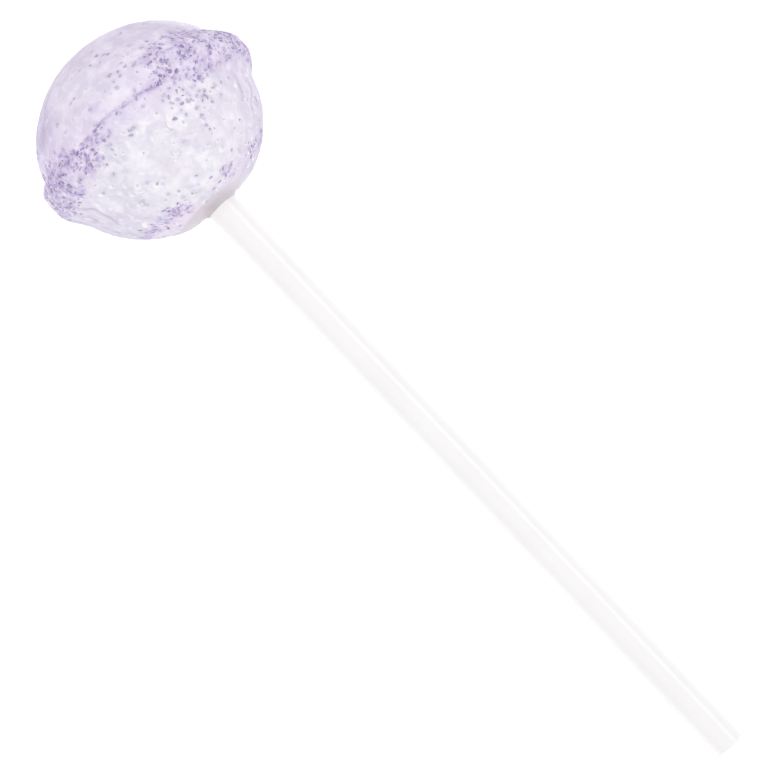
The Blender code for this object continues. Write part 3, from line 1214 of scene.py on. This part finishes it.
SPECK_STAIN = (0.10, 0.35)  # the stain in which specks turn from dusty to violet
SPECK_COLORS = {
    "in stain": ((0.31, 0.235, 0.475, 1), (0.67, 0.58, 0.81, 1)),
    "in clear sugar": ((0.42, 0.39, 0.53, 1), (0.74, 0.70, 0.82, 1)),
}
STICK_COLORS = ((0.94, 0.925, 0.93, 1), (0.955, 0.94, 0.945, 1))
STICK_TINT = (0.90, 0.84, 0.79, 1)
STICK_TINT_SHARE = 0.22
STICK_TINT_ENDS = (0.0160, 0.0180)
FLOOR_COLORS = ((0.93, 0.93, 0.93, 1), (0.95, 0.95, 0.95, 1))
FLOOR_GLOW = 0.32


def speck_finish(gloss_group):
    """Each speck has a tone of its own, deeper and more violet where it lies in stained sugar."""
    finish = Finish("violet_specks", gloss_group)
    tone = finish.attribute("tone")
    violet = blend_color(tone, *SPECK_COLORS["in stain"])
    dusty = blend_color(tone, *SPECK_COLORS["in clear sugar"])
    color = blend_color(within(finish.attribute("stain"), SPECK_STAIN), dusty, violet)
    finish.set({"Base Color": color, "Specular IOR Level": 0.3})
    finish.uneven_gloss(scale=4000.0, roughness=0.5, spread=0.1, depth=0.00002)
    return finish.material


def stick_finish(gloss_group):
    """Faintly cloudy white, with a warm tint next to the candy."""
    finish = Finish("stick_plastic", gloss_group)
    color = blend_color(blotches(finish.tree, finish.place, "stick milk"), *STICK_COLORS)
    near_candy = 1 - within(finish.attribute("from_ball"), STICK_TINT_ENDS)
    finish.set({"Base Color": blend_color(near_candy * STICK_TINT_SHARE, color, STICK_TINT)})
    finish.uneven_gloss(scale=240.0, roughness=0.15, spread=0.03, depth=0.00001)
    return finish.material


def floor_finish(gloss_group):
    finish = Finish("pale_floor", gloss_group)
    color = blend_color(blotches(finish.tree, finish.place, "floor"), *FLOOR_COLORS)
    finish.set({"Base Color": color, "Emission Color": color, "Emission Strength": FLOOR_GLOW})
    finish.uneven_gloss(scale=40.0, roughness=0.8, spread=0.05, depth=0.00001)
    return finish.material


# ---- Floor, light and camera ----

FLOOR_SIDE = 3.0
WORLD_STRENGTH = 0.61

# Each soft light: place and aim, both from the ball's centre, size, power, and whether it shows as a shine.
LIGHTS = {
    "key": ((0.15, -0.35, 0.80), (0, 0, 0), (0.7, 0.7), 2.85, False),
    "strip": ((0.05, 0.52, 0.46), (0.05, 0, 0), (0.9, 0.30), 1.2, True),
}
CAMERA_DISTANCE = 0.350
CAMERA_TILT = math.radians(4.6)  # towards the stick's tip, from square on to the stick
CAMERA_CLIP = (0.01, 10.0)
STICK_DROP = math.radians(46.69)  # how steeply the stick falls to the right in the view
AIM_FROM_BALL = 0.0539
AIM_ASIDE = -0.00054
VIEW_WIDTH = 0.117  # what the camera takes in, at the aim point
SENSOR_WIDTH = 36.0


def lay_floor(material):
    half = FLOOR_SIDE / 2
    corners = [(-half, -half, 0), (half, -half, 0), (half, half, 0), (-half, half, 0)]
    mesh = bpy.data.meshes.new("floor")
    mesh.from_pydata(corners, [], [(0, 1, 2, 3)])
    mesh.materials.append(material)
    new_object("floor", mesh)


def hang_light(name, centre, place, aim, size, power, shines):
    data = bpy.data.lights.new(name, "AREA")
    data.shape = "RECTANGLE"
    data.size, data.size_y = size
    data.energy = power
    light = new_object(name, data)
    light.location = centre + Vector(place)
    light.rotation_euler = (Vector(place) - Vector(aim)).to_track_quat("Z", "Y").to_euler()
    light.visible_glossy = shines


def light_scene(centre):
    world = bpy.data.worlds.new("soft_room")
    world.use_nodes = True
    background = world.node_tree.nodes["Background"]
    background.inputs["Color"].default_value = (1, 1, 1, 1)
    background.inputs["Strength"].default_value = WORLD_STRENGTH
    bpy.context.scene.world = world
    for name, light in LIGHTS.items():
        hang_light(name, centre, *light)


def place_camera(centre, slope):
    to_tip = way_to_tip(slope)
    square_on = Vector((math.sin(slope), 0, math.cos(slope)))
    back = math.cos(CAMERA_TILT) * square_on + math.sin(CAMERA_TILT) * to_tip
    aim = centre + to_tip * AIM_FROM_BALL + Vector((0, AIM_ASIDE, 0))
    stick_way = (to_tip - back * to_tip.dot(back)).normalized()
    across = back.cross(stick_way)
    right = math.cos(STICK_DROP) * stick_way + math.sin(STICK_DROP) * across
    up = math.cos(STICK_DROP) * across - math.sin(STICK_DROP) * stick_way
    data = bpy.data.cameras.new("camera")
    data.sensor_width = SENSOR_WIDTH
    data.lens = SENSOR_WIDTH * CAMERA_DISTANCE / VIEW_WIDTH
    data.clip_start, data.clip_end = CAMERA_CLIP
    camera = new_object("camera", data)
    turn = Matrix((right, up, back)).transposed().to_4x4()
    camera.matrix_world = Matrix.Translation(aim + back * CAMERA_DISTANCE) @ turn
    bpy.context.scene.camera = camera


# ---- Everything together ----


def main():
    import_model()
    centre, slope, stick_radius = lying_place()
    bpy.context.scene.view_settings.view_transform = "Standard"
    gloss_group = uneven_gloss_group()
    specks = speck_finish(gloss_group)
    candy = make_candy(candy_finish(gloss_group), centre, slope, stick_radius)
    scatter_specks("violet_grains", candy, GRAIN_SIZES, GRAIN_SEED, specks)
    scatter_specks("violet_flakes", candy, FLAKE_SIZES, FLAKE_SEED, specks)
    make_stick(stick_finish(gloss_group), centre, slope, stick_radius)
    lay_floor(floor_finish(gloss_group))
    light_scene(centre)
    place_camera(centre, slope)


main()
